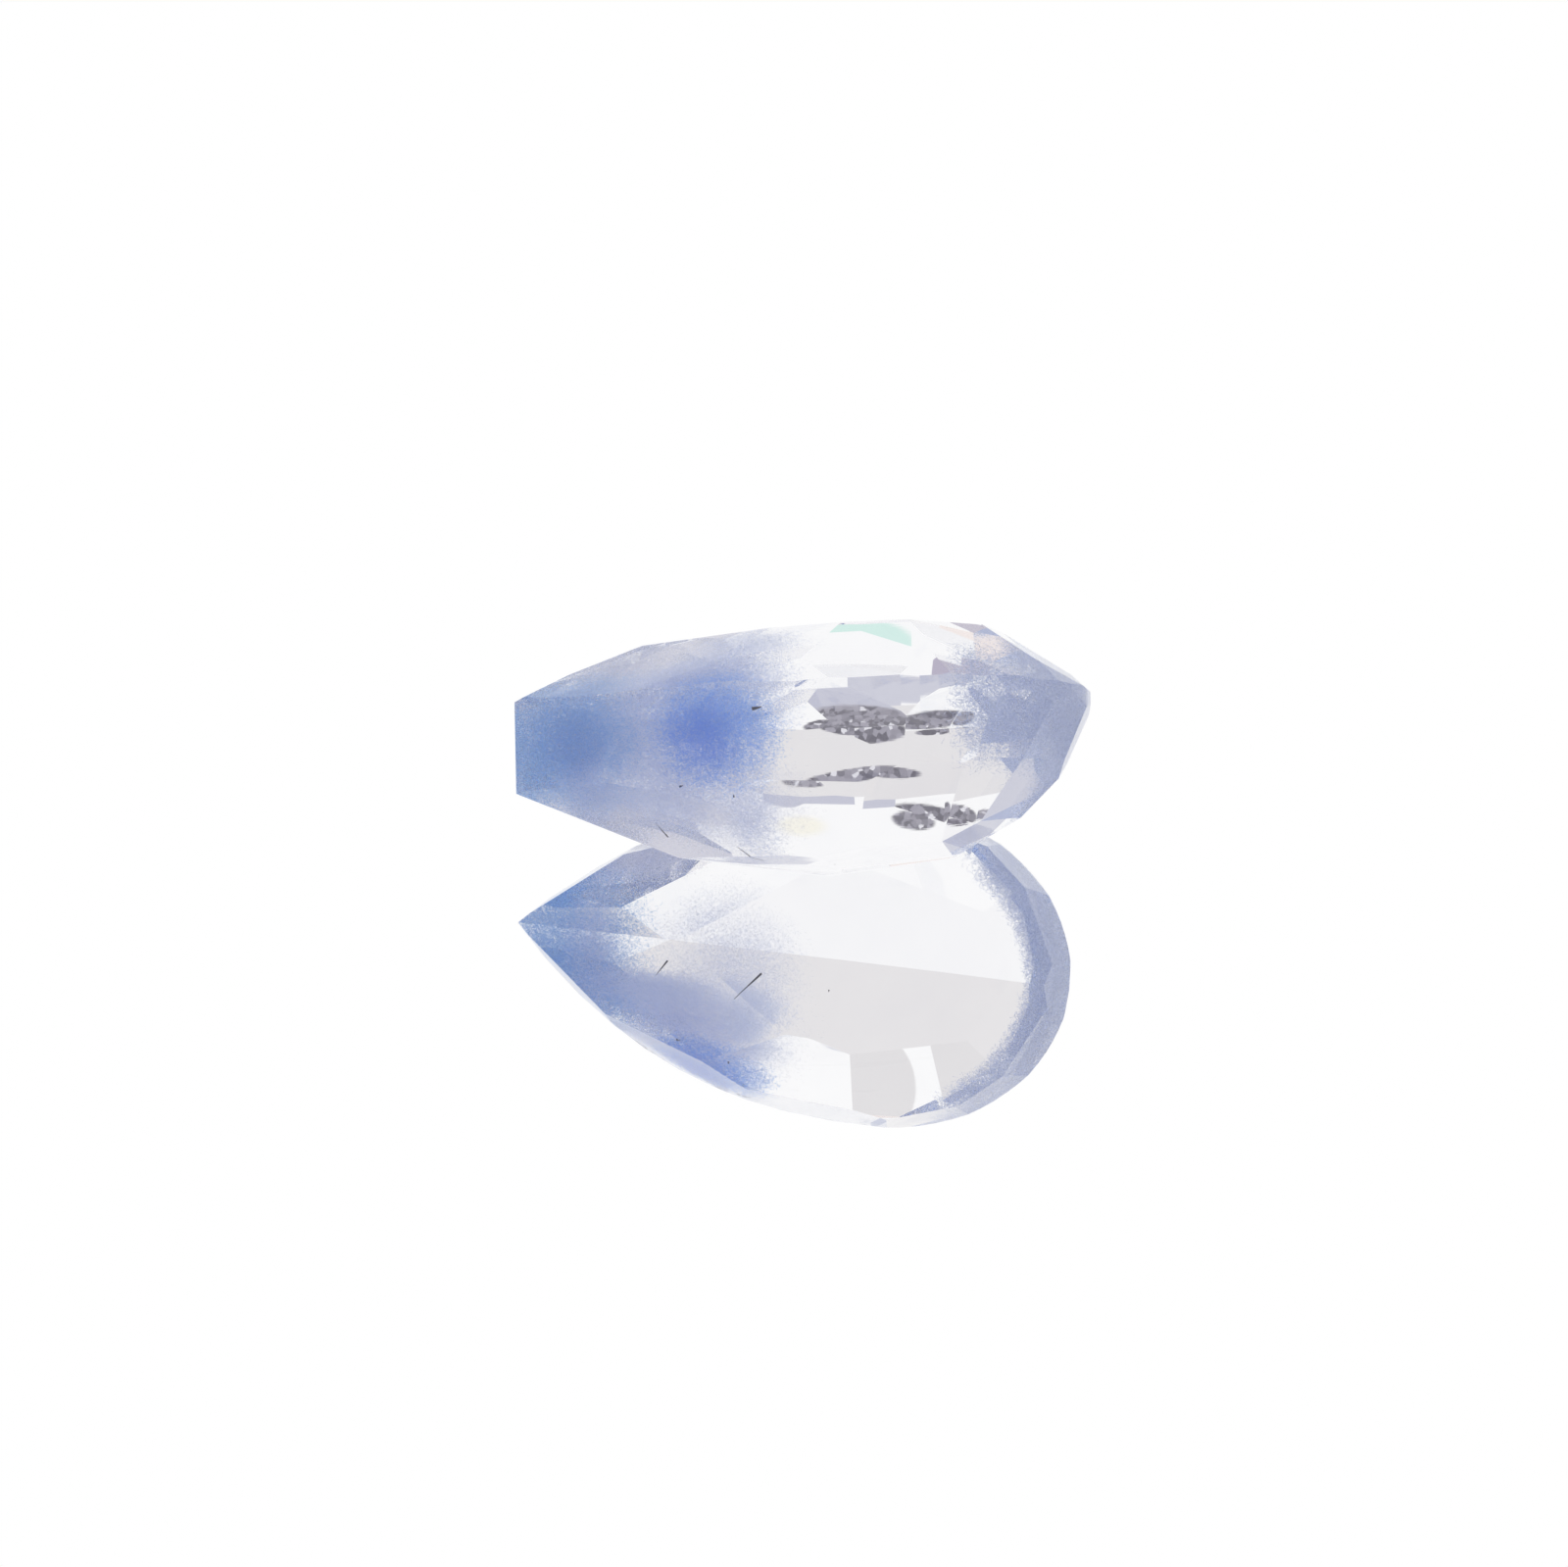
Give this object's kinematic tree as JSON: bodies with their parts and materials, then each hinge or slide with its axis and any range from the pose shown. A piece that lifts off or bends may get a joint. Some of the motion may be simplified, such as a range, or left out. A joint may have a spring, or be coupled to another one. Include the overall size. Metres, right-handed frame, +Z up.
{
  "type": "faceted dumortierite quartz gemstone",
  "caption": "Pear-shaped cut and polished quartz with blue mineral inclusions; a loose display or setting stone that lies on one flat side facet.",
  "frame": {"origin": "centre of the bounding box in plan, at the surface that the stone lies on", "axes": "+X runs along the stone from its pointed tip to its round end, +Z is up as it lies; its table faces +Y and up, at about 47 degrees from the vertical"},
  "size_m": [0.016, 0.0082, 0.0084],
  "materials": {
    "stone": "polished clear quartz with blue clouds"
  },
  "bodies": {
    "root": {"stone": "stone"}
  },
  "joints": []
}
